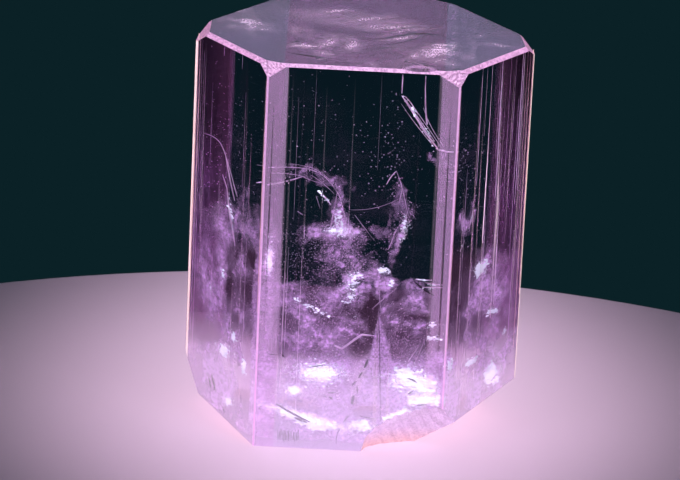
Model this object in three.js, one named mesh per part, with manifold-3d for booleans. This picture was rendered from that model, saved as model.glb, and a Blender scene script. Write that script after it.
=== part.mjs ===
// Kunzite crystal: one stout prism of pink spodumene that stands on its broken base.
// Millimetres, +Z up. The wide front face looks towards -Y. The origin is at the middle of the base.
// It grew as one piece, so it is one solid: an eight-sided prism with a flat top, bevelled top edges,
// three-sided facets at the top corners, growth lines up its faces and chips along its lower edge.

import * as THREE from 'three';
import { mergeVertices } from 'three/addons/utils/BufferGeometryUtils.js';
import Module from 'manifold-3d';

const wasm = await Module();
wasm.setup();

// Overall size
const height = 56.6;
const leftX = -22.6;
const rightX = 22.56;
const halfDepth = 11.5;

// Plan of the prism, seen from above
const frontLeftX = -12.55;
const frontRightX = 12.55;
const backLeftX = -10.45;
const backRightX = 10.45;
const leftEdgeFrontY = -1.5;
const leftEdgeBackY = 0.2;
const leftEdgeBackX = -22.2;
const rightEdgeFrontY = -1.3;
const rightEdgeBackY = 2.0;
const rightEdgeBackX = 20.36;

// Worn upright edges: how far each narrow strip reaches along its two faces
const outerEdgeStrip = 0.7;
const frontEdgeStrip = 0.16;

// Top edges
const topBevel = 0.52;
const frontBevel = 0.4;

// Lower edge: where the slanting breaks meet the upright edges, and how steeply they run under the crystal
const leftBreakRise = 4.3;
const leftBreakReach = 8;
const rightBreakNear = 3.6;
const rightBreakFar = 7.3;
const rightBreakReach = 5;
const backBreakRise = 1.6;
const backBreakReach = 2.2;

// Shell-like break at the front right of the base: where it starts and ends, how high it reaches on the front
// face, how steeply it runs down into the crystal, and the ripples round the spot where the blow fell
const shellStartX = 1.9;
const shellEndX = 17;
const shellRise = 7.15;
const shellSlope = 1.83;
const shellCurve = 0.5;
const shellRippleHeight = 0.14;
const shellRippleLength = 1.25;
const shellBlowAside = 1.5;
const shellBlowOut = 1.5;
const shellInFront = 1;
const shellBehind = 12;
const shellBelow = 4;
const shellSteps = 34;
const shellRows = 16;

// Break across the left outer edge, above the base: how high it starts on the edge, in front and behind,
// and where it ends on the front left face
const edgeBreakTop = 9.2;
const edgeBreakBackTop = 8.4;
const edgeBreakFoot = 3.5;
const edgeBreakReach = 3;

// Shallow chip on the top front edge
const topChipCentre = new THREE.Vector3(7.2, -halfDepth - 0.1, height + 0.55);
const topChipSize = new THREE.Vector3(3.2, 2.8, 0.78);

const bigBlock = 120;
const topLift = 0.02;

// The prism's faces, named by the two corners that each one runs between
const corners = {
	frontLeft: [ frontLeftX, - halfDepth ],
	frontRight: [ frontRightX, - halfDepth ],
	rightFront: [ rightX, rightEdgeFrontY ],
	rightBack: [ rightEdgeBackX, rightEdgeBackY ],
	backRight: [ backRightX, halfDepth ],
	backLeft: [ backLeftX, halfDepth ],
	leftBack: [ leftEdgeBackX, leftEdgeBackY ],
	leftFront: [ leftX, leftEdgeFrontY ],
};

const edgeStrips = {
	frontLeft: frontEdgeStrip,
	frontRight: frontEdgeStrip,
	rightFront: outerEdgeStrip,
	rightBack: frontEdgeStrip,
	backRight: frontEdgeStrip,
	backLeft: frontEdgeStrip,
	leftBack: frontEdgeStrip,
	leftFront: outerEdgeStrip,
};

const faces = {
	front: [ 'frontLeft', 'frontRight' ],
	frontRight: [ 'frontRight', 'rightFront' ],
	right: [ 'rightFront', 'rightBack' ],
	backRight: [ 'rightBack', 'backRight' ],
	back: [ 'backRight', 'backLeft' ],
	backLeft: [ 'backLeft', 'leftBack' ],
	left: [ 'leftBack', 'leftFront' ],
	frontLeft: [ 'leftFront', 'frontLeft' ],
};

// Facets at the top corners: the upright edge that each one ends on and how far down it reaches, then the two
// corners that its upper ends are measured from and how far along the top edges they lie.
// At each side one facet takes in both corners of the narrow face.
const topFacets = [
	{ edge: 'frontLeft', down: 2.1, left: [ 'frontLeft', 'leftFront', 2.0 ], right: [ 'frontLeft', 'frontRight', 2.9 ] },
	{ edge: 'frontRight', down: 2.2, left: [ 'frontRight', 'frontLeft', 3.4 ], right: [ 'frontRight', 'rightFront', 1.8 ] },
	{ edge: 'rightFront', down: 1.9, left: [ 'rightFront', 'frontRight', 2.2 ], right: [ 'rightBack', 'backRight', 0.6 ] },
	{ edge: 'backRight', down: 2.1, left: [ 'backRight', 'rightBack', 3.0 ], right: [ 'backRight', 'backLeft', 2.8 ] },
	{ edge: 'backLeft', down: 1.7, left: [ 'backLeft', 'backRight', 1.5 ], right: [ 'backLeft', 'leftBack', 1.9 ] },
	{ edge: 'leftFront', down: 2.3, left: [ 'leftBack', 'backLeft', 2.4 ], right: [ 'leftFront', 'frontLeft', 2.7 ] },
];

// Growth lines: face, place across it from 0 to 1, lower end, upper end, width and depth.
// A line with a negative depth stands proud of its face as a fine ridge.
const growthLines = [
	[ 'front', 0.036, 10, 54, 0.24, 0.05 ],
	[ 'front', 0.112, 3, 55.4, 0.28, 0.09 ],
	[ 'front', 0.133, 9, 55.6, 0.3, 0.09 ],
	[ 'front', 0.222, 22, 46, 0.22, 0.06 ],
	[ 'front', 0.31, 30, 54, 0.18, 0.04 ],
	[ 'front', 0.455, 24, 55, 0.18, 0.04 ],
	[ 'front', 0.634, 3, 22, 0.6, - 0.1 ],
	[ 'front', 0.7, 5, 18, 0.3, 0.06 ],
	[ 'front', 0.906, 9, 55.5, 0.26, 0.08 ],
	[ 'front', 0.958, 8, 54, 0.3, - 0.06 ],
	[ 'frontRight', 0.13, 10, 40, 0.24, 0.06 ],
	[ 'frontRight', 0.27, 9, 54, 0.34, 0.09 ],
	[ 'frontRight', 0.33, 24, 49, 0.22, 0.05 ],
	[ 'frontRight', 0.415, 8, 56.1, 0.42, 0.12 ],
	[ 'frontRight', 0.563, 9, 56.1, 0.44, - 0.11 ],
	[ 'frontRight', 0.604, 15, 55, 0.24, 0.08 ],
	[ 'frontRight', 0.709, 27, 55, 0.28, 0.07 ],
	[ 'frontRight', 0.849, 9, 55.9, 0.42, 0.12 ],
	[ 'frontRight', 0.898, 9, 55, 0.34, - 0.1 ],
	[ 'frontLeft', 0.09, 12, 54, 0.3, - 0.08 ],
	[ 'frontLeft', 0.164, 10, 55.9, 0.42, 0.12 ],
	[ 'frontLeft', 0.405, 27, 39, 0.3, 0.07 ],
	[ 'frontLeft', 0.63, 5, 25, 0.26, 0.07 ],
	[ 'frontLeft', 0.741, 3, 52, 0.28, 0.09 ],
	[ 'frontLeft', 0.813, 28, 46, 0.2, 0.05 ],
	[ 'backLeft', 0.18, 6, 54, 0.5, 0.12 ],
	[ 'backLeft', 0.3, 14, 55, 0.3, - 0.07 ],
	[ 'backLeft', 0.47, 5, 50, 0.36, 0.09 ],
	[ 'backLeft', 0.62, 9, 54, 0.4, 0.1 ],
	[ 'backLeft', 0.83, 12, 55, 0.44, - 0.1 ],
	[ 'backRight', 0.16, 10, 55, 0.44, 0.11 ],
	[ 'backRight', 0.34, 7, 52, 0.36, - 0.08 ],
	[ 'backRight', 0.55, 12, 56, 0.46, 0.12 ],
	[ 'backRight', 0.8, 6, 53, 0.36, 0.08 ],
	[ 'back', 0.14, 5, 52, 0.3, 0.07 ],
	[ 'back', 0.37, 10, 55, 0.24, 0.05 ],
	[ 'back', 0.63, 4, 34, 0.3, - 0.07 ],
	[ 'back', 0.88, 8, 55, 0.34, 0.08 ],
];

// Low growth waves on the top face: centre, half length, half width, height and turn in degrees
const topRipples = [
	[ 3.9, - 1.2, 3.2, 0.9, 0.1, 22 ],
	[ 5.0, 0.2, 4.2, 0.9, 0.12, 18 ],
	[ 5.6, 1.9, 4.6, 1, 0.12, 13 ],
	[ 4.4, 3.8, 3.8, 1, 0.1, 8 ],
	[ - 3.6, 4.6, 2.6, 0.8, 0.08, - 5 ],
];

function toSolid( geometry ) {

	const bare = geometry.index ? geometry.toNonIndexed() : geometry.clone();
	bare.deleteAttribute( 'normal' );
	bare.deleteAttribute( 'uv' );
	const closed = mergeVertices( bare, 1e-5 );
	return new wasm.Manifold( new wasm.Mesh( {
		numProp: 3,
		vertProperties: new Float32Array( closed.attributes.position.array ),
		triVerts: new Uint32Array( closed.index.array ),
	} ) );

}

function toGeometry( solid ) {

	const mesh = solid.getMesh();
	const geometry = new THREE.BufferGeometry();
	geometry.setAttribute( 'position', new THREE.BufferAttribute( new Float32Array( mesh.vertProperties ), 3 ) );
	geometry.setIndex( new THREE.BufferAttribute( new Uint32Array( mesh.triVerts ), 1 ) );
	geometry.computeVertexNormals();
	return geometry;

}

// A face's two corners, its length, its direction and the way it looks out
function faceFrame( name ) {

	const start = new THREE.Vector3( ...corners[ faces[ name ][ 0 ] ], 0 );
	const end = new THREE.Vector3( ...corners[ faces[ name ][ 1 ] ], 0 );
	const along = end.clone().sub( start );
	const length = along.length();
	along.normalize();
	return { start, end, length, along, out: new THREE.Vector3( along.y, - along.x, 0 ) };

}

// The prism's plan, with a narrow strip in place of each sharp corner
function planPoints() {

	const names = Object.keys( corners );
	const points = [];
	names.forEach( ( name, i ) => {

		const here = new THREE.Vector2( ...corners[ name ] );
		const before = new THREE.Vector2( ...corners[ names[ ( i + names.length - 1 ) % names.length ] ] );
		const after = new THREE.Vector2( ...corners[ names[ ( i + 1 ) % names.length ] ] );
		const strip = edgeStrips[ name ];
		points.push( here.clone().add( before.sub( here ).setLength( strip ) ) );
		points.push( here.clone().add( after.sub( here ).setLength( strip ) ) );

	} );
	return points;

}

function prism() {

	const plan = new THREE.Shape( planPoints() );
	return toSolid( new THREE.ExtrudeGeometry( plan, { depth: height, bevelEnabled: false } ) );

}

// Takes off all that lies beyond a plane
function sliceOff( solid, point, out ) {

	const block = new THREE.BoxGeometry( bigBlock, bigBlock, bigBlock );
	block.translate( 0, 0, bigBlock / 2 );
	block.applyQuaternion( new THREE.Quaternion().setFromUnitVectors( new THREE.Vector3( 0, 0, 1 ), out ) );
	block.translate( point.x, point.y, point.z );
	return solid.subtract( toSolid( block ) );

}

// Takes off what lies beyond the plane through three points, on the side that faces away from the middle
function sliceThrough( solid, a, b, c ) {

	const out = b.clone().sub( a ).cross( c.clone().sub( a ) ).normalize();
	const middle = new THREE.Vector3( 0, 0, height / 2 );
	if ( out.dot( a.clone().sub( middle ) ) < 0 ) out.negate();
	return sliceOff( solid, a, out );

}

function bevelTopEdges( solid ) {

	for ( const name of Object.keys( faces ) ) {

		const { start, out } = faceFrame( name );
		const bevel = name === 'front' ? frontBevel : topBevel;
		const point = start.clone().addScaledVector( out, - bevel ).setZ( height );
		const slope = out.clone().setZ( 1 ).normalize();
		solid = sliceOff( solid, point, slope );

	}

	return solid;

}

// A point on the top edge that runs from one corner towards another
function onTopEdge( [ from, towards, distance ] ) {

	const start = new THREE.Vector3( ...corners[ from ], height );
	const end = new THREE.Vector3( ...corners[ towards ], height );
	return start.add( end.sub( start ).setLength( distance ) );

}

function cutTopFacets( solid ) {

	for ( const { edge, down, left, right } of topFacets ) {

		const foot = new THREE.Vector3( ...corners[ edge ], height - down );
		solid = sliceThrough( solid, foot, onTopEdge( left ), onTopEdge( right ) );

	}

	return solid;

}

// A growth line is a long eight-sided sliver, widest half way up, that is cut into its face or stands out of it
function growthLine( [ name, across, low, high, width, depth ] ) {

	const { start, length, along } = faceFrame( name );
	const sliver = new THREE.OctahedronGeometry( 1 );
	sliver.scale( width / 2, Math.abs( depth ), ( high - low ) / 2 );
	sliver.rotateZ( Math.atan2( along.y, along.x ) );
	const foot = start.clone().addScaledVector( along, across * length );
	sliver.translate( foot.x, foot.y, ( low + high ) / 2 );
	return toSolid( sliver );

}

function addGrowthLines( solid ) {

	for ( const line of growthLines ) {

		const depth = line.at( - 1 );
		const sliver = growthLine( line );
		solid = depth > 0 ? solid.subtract( sliver ) : solid.add( sliver );

	}

	return solid;

}

function addTopRipples( solid ) {

	for ( const [ x, y, halfLength, halfSpan, rise, turn ] of topRipples ) {

		const ripple = new THREE.SphereGeometry( 1, 24, 16 );
		ripple.rotateX( Math.PI / 2 );
		ripple.scale( halfLength, halfSpan, rise );
		ripple.rotateZ( THREE.MathUtils.degToRad( turn ) );
		ripple.translate( x, y, height - topLift );
		solid = solid.add( toSolid( ripple ) );

	}

	return solid;

}

// A round-bottomed chip, as a blow leaves it
function scoop( centre, size ) {

	const ball = new THREE.SphereGeometry( 1, 22, 14 );
	ball.scale( size.x, size.y, size.z );
	ball.translate( centre.x, centre.y, centre.z );
	return toSolid( ball );

}

// Slanting breaks along the lower edge, which leave the middle of the base to stand on
function breakLowerEdge( solid ) {

	const left = faceFrame( 'frontLeft' );
	const leftInner = left.start.clone().addScaledVector( left.out, - leftBreakReach );
	solid = sliceThrough( solid, left.end.clone(), left.start.clone().setZ( leftBreakRise ), leftInner );

	const edgeFoot = left.start.clone().addScaledVector( left.along, edgeBreakReach ).setZ( edgeBreakFoot );
	const edgeBack = faceFrame( 'left' ).start.clone().setZ( edgeBreakBackTop );
	solid = sliceThrough( solid, left.start.clone().setZ( edgeBreakTop ), edgeFoot, edgeBack );

	const right = faceFrame( 'frontRight' );
	const rightInner = right.start.clone().addScaledVector( right.out, - rightBreakReach );
	const near = right.start.clone().setZ( rightBreakNear );
	const far = right.end.clone().setZ( rightBreakFar );
	solid = sliceThrough( solid, near, far, rightInner );

	const back = faceFrame( 'back' );
	const backInner = back.start.clone().addScaledVector( back.out, - backBreakReach );
	const backFar = back.end.clone().addScaledVector( back.out, - backBreakReach * 0.5 );
	solid = sliceThrough( solid, back.start.clone().setZ( backBreakRise ), backInner, backFar );

	return solid;

}

// How high the shell-like break reaches on the front face, x from its left end
function shellHeight( x ) {

	const share = THREE.MathUtils.clamp( x / ( frontRightX - shellStartX ), 0, 1 );
	return shellRise * Math.pow( Math.sin( share * Math.PI / 2 ), shellCurve );

}

// The break's ripples run in rings round the spot on the front right edge where the blow fell
function shellRipple( x, y ) {

	const blowX = frontRightX - shellStartX + shellBlowAside;
	const fromBlow = Math.hypot( x - blowX, y + shellBlowOut );
	return shellRippleHeight * Math.sin( fromBlow * 2 * Math.PI / shellRippleLength );

}

// A block whose top is the broken surface. It starts in front of the crystal and reaches down below the base.
function shellBlock() {

	const width = shellEndX - shellStartX;
	const depth = shellInFront + shellBehind;
	const block = new THREE.BoxGeometry( width, depth, shellBelow, shellSteps, shellRows, 1 );
	block.translate( width / 2, depth / 2 - shellInFront, - shellBelow / 2 );
	const place = block.attributes.position;
	for ( let i = 0; i < place.count; i ++ ) {

		if ( place.getZ( i ) < - shellBelow / 2 ) continue;
		const x = place.getX( i );
		const y = place.getY( i );
		const surface = shellHeight( x ) - shellSlope * y + shellRipple( x, y );
		place.setZ( i, Math.max( surface, - shellBelow / 2 ) );

	}

	block.translate( shellStartX, - halfDepth, 0 );
	return toSolid( block );

}

function kunziteCrystal() {

	let solid = prism();
	solid = addTopRipples( bevelTopEdges( solid ) );
	solid = cutTopFacets( solid );
	solid = addGrowthLines( solid );
	solid = breakLowerEdge( solid );
	solid = solid.subtract( shellBlock() );
	solid = solid.subtract( scoop( topChipCentre, topChipSize ) );

	const material = new THREE.MeshStandardMaterial( {
		color: 0xdcb4e4,
		roughness: 0.08,
		metalness: 0,
		flatShading: true,
	} );
	const mesh = new THREE.Mesh( toGeometry( solid ), material );
	mesh.name = 'kunzite_crystal';
	return mesh;

}

const part = new THREE.Group();
part.name = 'kunzite';
part.add( kunziteCrystal() );

export default part;
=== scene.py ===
import math

import bmesh
import bpy
import numpy as np
from mathutils import Matrix, Vector, noise
from mathutils.bvhtree import BVHTree


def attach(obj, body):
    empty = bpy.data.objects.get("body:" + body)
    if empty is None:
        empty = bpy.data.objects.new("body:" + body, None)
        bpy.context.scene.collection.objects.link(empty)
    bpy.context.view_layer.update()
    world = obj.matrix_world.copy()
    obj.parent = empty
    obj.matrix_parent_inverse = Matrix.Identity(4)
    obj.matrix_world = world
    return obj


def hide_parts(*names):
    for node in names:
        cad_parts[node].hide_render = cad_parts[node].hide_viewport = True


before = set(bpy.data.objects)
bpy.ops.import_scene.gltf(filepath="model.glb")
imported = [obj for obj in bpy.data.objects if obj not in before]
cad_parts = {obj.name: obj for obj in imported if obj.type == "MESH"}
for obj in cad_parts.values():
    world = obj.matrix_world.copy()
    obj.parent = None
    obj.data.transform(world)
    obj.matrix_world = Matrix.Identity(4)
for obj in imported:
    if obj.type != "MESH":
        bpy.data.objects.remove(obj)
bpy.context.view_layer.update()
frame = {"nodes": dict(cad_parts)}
print("frame loaded:", ", ".join(frame["nodes"]))

mm = 0.001


def hexColour(text):
    # sRGB hex to the linear colour that nodes and lights take
    channels = [int(text[i:i + 2], 16) / 255 for i in (0, 2, 4)]
    linear = [c / 12.92 if c <= 0.04045 else ((c + 0.055) / 1.055) ** 2.4 for c in channels]
    return (*linear, 1.0)


def addNode(tree, kind, settings=None, links=None):
    # settings go to sockets or, where no socket has the name, to properties; links are socket: output
    node = tree.nodes.new("ShaderNode" + kind)
    for name, value in (settings or {}).items():
        if isinstance(name, int) or name in node.inputs:
            node.inputs[name].default_value = value
        else:
            setattr(node, name, value)
    for name, output in (links or {}).items():
        tree.links.new(output, node.inputs[name])
    return node


def newMaterial(name):
    material = bpy.data.materials.new(name)
    material.use_nodes = True
    material.node_tree.nodes.clear()
    return material, material.node_tree


def plainMaterial(name, colour, settings):
    material, tree = newMaterial(name)
    shader = addNode(tree, "BsdfPrincipled", {"Base Color": hexColour(colour), **settings})
    addNode(tree, "OutputMaterial", {}, {"Surface": shader.outputs[0]})
    return material


def meshData(name, mesh):
    data = bpy.data.meshes.new(name)
    mesh.to_mesh(data)
    mesh.free()
    return data


def addObject(name, data):
    thing = bpy.data.objects.new(name, data)
    bpy.context.scene.collection.objects.link(thing)
    return thing


def addPiece(name, data, material):
    piece = addObject(name, data)
    data.materials.clear()
    data.materials.append(material)
    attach(piece, "root")
    return piece


crystalLook = {
    "ior": 1.66,                # spodumene is 1.66 to 1.68
    "bodyColour": "c492c4",     # what the absorption leaves of white light
    "depth": 23.0,              # absorption per metre
    "polish": 0.01,
    "frostRoughness": 0.45,
    "frostClear": 0.55,         # how much of a frosted face still lets light through
    "striaeWidth": 0.12 * mm,
    "striaeChange": 0.003,      # how little a growth line changes upwards
    "etchPatch": 4 * mm,
    "etchWaver": -8 * mm,
    "etchTop": 12 * mm,
    "etchFull": 4 * mm,
    "etchFrost": 0.5,
    "striaeTilt": 0.02 * mm,
    "grainSize": 0.35 * mm,
    "grainTilt": 0.3 * mm,
    "grainShade": 0.55,         # how far the pits of a rough face go towards the shade colour
    "shadeColour": "6a4270",
    "topCell": 0.5,             # mm between the cuts of the top face
    # smears of the top face; the streaks among them are painted highlights
    "smearAndHighlightColour": "f0dcf2",
    "smearAndHighlightStrength": 0.7,
    "speckleSize": 0.2 * mm,
    "speckleShape": 0.5,        # speckles are drawn out from front to back
    "breakLow": "ffd6cc",       # a break is warmer towards the ground
    "breakHigh": 3.0,           # mm
}

faceKinds = {
    # frost 0 clear to 1 matt and above that rougher still, striae 0 flat to 1 lined, grain 0 smooth to
    # 1 rough, tone it gives the light
    # the top face's tones are painted: its darker grey middle is painted shade, and the blue-grey of its
    # ends is a painted reflection of the back faces
    "top": (0.05, 0.0, 0.35, "9a8c90"),
    "topSide": (0.05, 0.0, 0.12, "6a837e"),
    "base": (1.0, 0.0, 0.5, "fbeefc"),
    "bevel": (0.9, 0.0, 1.0, "e0b8d8"),
    "chip": (0.3, 0.0, 0.5, "e0c0e0"),
    "frontStrip": (1.0, 0.2, 0.2, "eec4ea"),
    "outerStrip": (1.8, 0.2, 0.3, "fff2f0"),
    "front": (0.0, 0.08, 0.0, "f4eeff"),
    "frontLine": (0.06, 0.2, 0.0, "fffaff"),
    "frontBand": (0.28, 0.5, 0.0, "f8e4ff"),
    "frontLeft": (0.0, 0.3, 0.0, "f6ecff"),
    "frontRight": (0.0, 0.5, 0.0, "f6ecff"),
    "leftLine": (0.12, 0.4, 0.0, "fff0fb"),
    "rightLine": (0.5, 0.4, 0.0, "fff0fb"),
    "backLine": (0.0, 0.0, 0.0, "fff0fb"),
    "back": (0.0, 0.3, 0.0, "fffaff"),
    "backSide": (0.0, 0.1, 0.0, "fffaff"),
    "outer": (0.0, 0.15, 0.0, "fff0fb"),
    "break": (1.5, 0.0, 0.4, "fdeaff"),
}

# the upright edges in plan, in mm
planCorners = [(-12.55, -11.5), (12.55, -11.5), (22.56, -1.3), (20.36, 2.0), (10.45, 11.5), (-10.45, 11.5),
                (-22.2, 0.2), (-22.6, -1.5)]
bodyShape = {
    # mm
    "top": 56.6,
    "foot": 9.0,                # the breaks lie below it
    "bandInner": 9.85,          # the matt bands of the front face begin here
    "sideInner": 10.45,         # the clearer ends of the top face, which carry the painted reflection, begin here
    "chipInner": -9.0,          # the chip of the top lies in front of this
    "stripWidth": 1.3,          # the worn strips are narrower
    "stripReach": 0.62,         # and their middles this near to a corner of the plan
    "lineWidth": 0.35,          # the raised growth lines are narrower
    "shoulder": 15.0,           # the outer strips lie beyond it
    # parts of a face's outward direction
    "level": 0.99,              # the top
    "nearlyLevel": 0.97,        # the top with its waves
    "chipLevel": 0.8,           # the top's waves and its chip
    "baseLevel": 0.9,
    "leaning": 0.12,            # bevels lean more than this, and so do breaks
    "footLeaning": 0.02,        # in the foot a break leans less
    "square": 0.97,             # the front and the back
    "outerSquare": 0.93,        # the narrow sides
}


def kindOf(face):
    shape = bodyShape
    n = face.normal
    middle = face.calc_center_median() / mm
    if n.z > shape["level"]:
        return "topSide" if abs(middle.x) > shape["sideInner"] else "top"
    if n.z > shape["chipLevel"]:
        return "top" if middle.y > shape["chipInner"] else "chip"
    if n.z < -shape["baseLevel"] and middle.z < 0.4:
        return "base"
    if n.z > shape["leaning"]:
        return "bevel"
    if n.z < -shape["leaning"] or (middle.z < shape["foot"] and abs(n.z) > shape["footLeaning"]):
        return "break"
    width = max((v.co - w.co).to_2d().length for v in face.verts for w in face.verts) / mm
    nearest = min(math.dist(middle.to_2d(), edge) for edge in planCorners)
    # a worn strip faces neither forwards nor as the slanting faces do
    slanting = abs(n.y) < shape["square"] and abs(abs(n.x) - 0.71) > 0.06
    if width < shape["stripWidth"] and nearest < shape["stripReach"] and slanting:
        return "outerStrip" if abs(middle.x) > shape["shoulder"] else "frontStrip"
    if width < shape["lineWidth"]:
        if n.y < -0.8:
            return "frontLine"
        if n.y > 0.3:
            return "backLine"
        return "leftLine" if n.x < 0 else "rightLine"
    if abs(n.x) > shape["outerSquare"]:
        return "outer"
    if n.y < -shape["square"]:
        return "frontBand" if abs(middle.x) > shape["bandInner"] else "front"
    if n.y > shape["square"]:
        return "back"
    if n.y > 0:
        return "backSide"
    return "frontLeft" if n.x < 0 else "frontRight"


def growthFace():
    # Clear kunzite, the pink gem variety of spodumene, with its natural growth faces: glassy, so what is
    # behind shows through bent and tinted, with fine upright growth lines. Bevels and breaks are matt.
    look = crystalLook
    material, tree = newMaterial("kunzite_growth_face")
    place = addNode(tree, "TexCoord").outputs["Object"]
    frost, smearAndHighlight, striae, grain = (addNode(tree, "Attribute", {"attribute_name": name}).outputs["Fac"]
                                   for name in ("frost", "smearAndHighlight", "striae", "grain"))
    drawn = addNode(tree, "Mapping", {"Scale": (1.0, look["speckleShape"], 1.0)}, {"Vector": place})
    speckle = addNode(tree, "TexNoise", {"Scale": 1 / look["speckleSize"], "Detail": 1.0},
                      {"Vector": drawn.outputs[0]})
    speckle = addNode(tree, "MapRange", {"From Min": 0.36, "From Max": 0.62, "To Min": 0.3, "To Max": 1.6},
                      {"Value": speckle.outputs["Fac"]})
    smearAndHighlight = addNode(tree, "Math", {"operation": "MULTIPLY", "use_clamp": True},
                    {0: smearAndHighlight, 1: speckle.outputs[0]}).outputs[0]
    frost = addNode(tree, "Math", {"operation": "ADD"}, {0: frost, 1: smearAndHighlight}).outputs[0]

    across = 1 / look["striaeWidth"]
    stretched = addNode(tree, "Mapping", {"Scale": (across, across, across * look["striaeChange"])},
                        {"Vector": place})
    lines = addNode(tree, "TexNoise", {"Scale": 1.0, "Detail": 3.0, "Roughness": 0.7},
                    {"Vector": stretched.outputs[0]})
    height = addNode(tree, "Math", {"operation": "MULTIPLY"}, {0: lines.outputs["Fac"], 1: striae})
    lined = addNode(tree, "Bump", {"Strength": 1.0, "Distance": look["striaeTilt"]},
                    {"Height": height.outputs[0]})
    grains = addNode(tree, "TexNoise", {"Scale": 1 / look["grainSize"], "Detail": 2.0}, {"Vector": place})
    height = addNode(tree, "Math", {"operation": "MULTIPLY"}, {0: grains.outputs["Fac"], 1: grain})
    bump = addNode(tree, "Bump", {"Strength": 1.0, "Distance": look["grainTilt"]},
                   {"Height": height.outputs[0], "Normal": lined.outputs[0]})

    # the foot is etched matt in patches
    heightMm = addNode(tree, "SeparateXYZ", {}, {0: place}).outputs["Z"]
    patches = addNode(tree, "TexNoise", {"Scale": 1 / look["etchPatch"], "Detail": 3.0}, {"Vector": place})
    raised = addNode(tree, "Math", {"operation": "MULTIPLY_ADD", 1: look["etchWaver"]},
                     {0: patches.outputs["Fac"], 2: heightMm})
    etched = addNode(tree, "MapRange", {"interpolation_type": "SMOOTHSTEP", "From Min": look["etchTop"],
                                        "From Max": look["etchFull"], "To Max": look["etchFrost"]},
                     {"Value": raised.outputs[0]})
    frost = addNode(tree, "Math", {"operation": "MAXIMUM"}, {0: frost, 1: etched.outputs[0]}).outputs[0]

    roughness = addNode(tree, "MapRange", {"clamp": False, "To Min": look["polish"],
                                           "To Max": look["frostRoughness"]}, {"Value": frost})
    clearness = addNode(tree, "MapRange", {"clamp": False, "To Min": 1.0, "To Max": look["frostClear"]},
                        {"Value": frost})
    tone = addNode(tree, "Attribute", {"attribute_name": "tone"}).outputs["Color"]
    # the smears lighten the tone, and so do the painted highlight streaks among them
    tone = addNode(tree, "Mix", {"data_type": "RGBA", 7: hexColour(look["smearAndHighlightColour"])},
                   {"Factor": smearAndHighlight, 6: tone}).outputs[2]
    # the pits of the grain are darkened towards the shade colour: painted shade in the recesses
    pits = addNode(tree, "MapRange", {"From Min": 0.62, "From Max": 0.36, "To Max": look["grainShade"]},
                   {"Value": grains.outputs["Fac"]})
    shade = addNode(tree, "Math", {"operation": "MULTIPLY"}, {0: pits.outputs[0], 1: grain})
    tone = addNode(tree, "Mix", {"data_type": "RGBA", 7: hexColour(look["shadeColour"])},
                   {"Factor": shade.outputs[0], 6: tone}).outputs[2]
    shader = addNode(tree, "BsdfPrincipled", {"IOR": look["ior"]}, {
        "Base Color": tone,
        "Roughness": roughness.outputs[0],
        "Transmission Weight": clearness.outputs[0],
        "Normal": bump.outputs[0],
    })
    inside = addNode(tree, "VolumeAbsorption", {
        "Color": hexColour(look["bodyColour"]),
        "Density": look["depth"],
    })
    addNode(tree, "OutputMaterial", {}, {"Surface": shader.outputs[0], "Volume": inside.outputs[0]})
    return material


cameraPlace = {
    "spot": (5.0, -766.27, 410.61),     # mm
    "turn": 0.545,                      # degrees
    "drop": 26.67,
    "roll": 2.67,
    "lens": 339.3,
    "sensor": 36,
    "clip": (50 * mm, 20000 * mm),
}


def cameraAxes():
    turn, drop = math.radians(cameraPlace["turn"]), math.radians(cameraPlace["drop"])
    forward = Vector((-math.sin(turn) * math.cos(drop), math.cos(turn) * math.cos(drop), -math.sin(drop)))
    across = Vector((math.cos(turn), math.sin(turn), 0))
    return across, across.cross(forward), forward


# each growth face as a window: its front edge in plan, its outward side and the way along it, in mm
windows = {
    "front": {"start": (0, -11.5, 0), "along": (1, 0, 0), "up": (0, 0, 1), "out": (0, -1, 0)},
    "left": {"start": (-12.55, -11.5, 0), "along": (-0.7088, 0.7053, 0), "up": (0, 0, 1),
             "out": (-0.7053, -0.7088, 0)},
    "right": {"start": (12.55, -11.5, 0), "along": (0.7004, 0.7137, 0), "up": (0, 0, 1),
              "out": (0.7137, -0.7004, 0)},
    "top": {"start": (0, 0, 56.6), "along": (1, 0, 0), "up": (0, 1, 0), "out": (0, 0, 1)},
}


def bend(direction, out):
    # how a ray turns as it enters the crystal
    ratio = 1 / crystalLook["ior"]
    facing = -direction.dot(out)
    return ratio * direction + (ratio * facing - math.sqrt(1 - ratio * ratio * (1 - facing * facing))) * out


fillPlace = (0, -420, 420)      # the large softbox in front, in mm

for window in windows.values():
    out = Vector(window["out"])
    sight = bend(cameraAxes()[2], out)
    towardsLight = -bend(-Vector(fillPlace).normalized(), out)
    window["sight"] = np.array(sight)
    # a flake that faces this way mirrors the softbox
    window["flash"] = np.array((towardsLight - sight).normalized())
    for name in ("start", "along", "up", "out"):
        window[name] = np.array(window[name], dtype=float)


def behind(face, u, v, depth):
    # a place in mm: seen at (u, v) on a face, and so far along the line of sight behind it
    w = windows[face]
    u, v, depth = np.asarray(u, float), np.asarray(v, float), np.asarray(depth, float)
    return w["start"] + u[..., None] * w["along"] + v[..., None] * w["up"] + depth[..., None] * w["sight"]


def insideCrystal(places, margin=0.35):
    keep = (places[:, 2] > margin) & (places[:, 2] < bodyShape["top"] - margin)
    for i in np.flatnonzero(keep & (places[:, 2] < bodyShape["foot"])):
        spot, normal, _, _ = bodyTree.find_nearest(Vector(places[i]) * mm)
        keep[i] = (spot - Vector(places[i]) * mm).dot(normal) > margin * mm
    for (x0, y0), (x1, y1) in zip(planCorners, planCorners[1:] + planCorners[:1]):
        length = math.hypot(x1 - x0, y1 - y0)
        keep &= ((x1 - x0) * (places[:, 1] - y0) - (y1 - y0) * (places[:, 0] - x0)) / length > margin
    return keep


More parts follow.
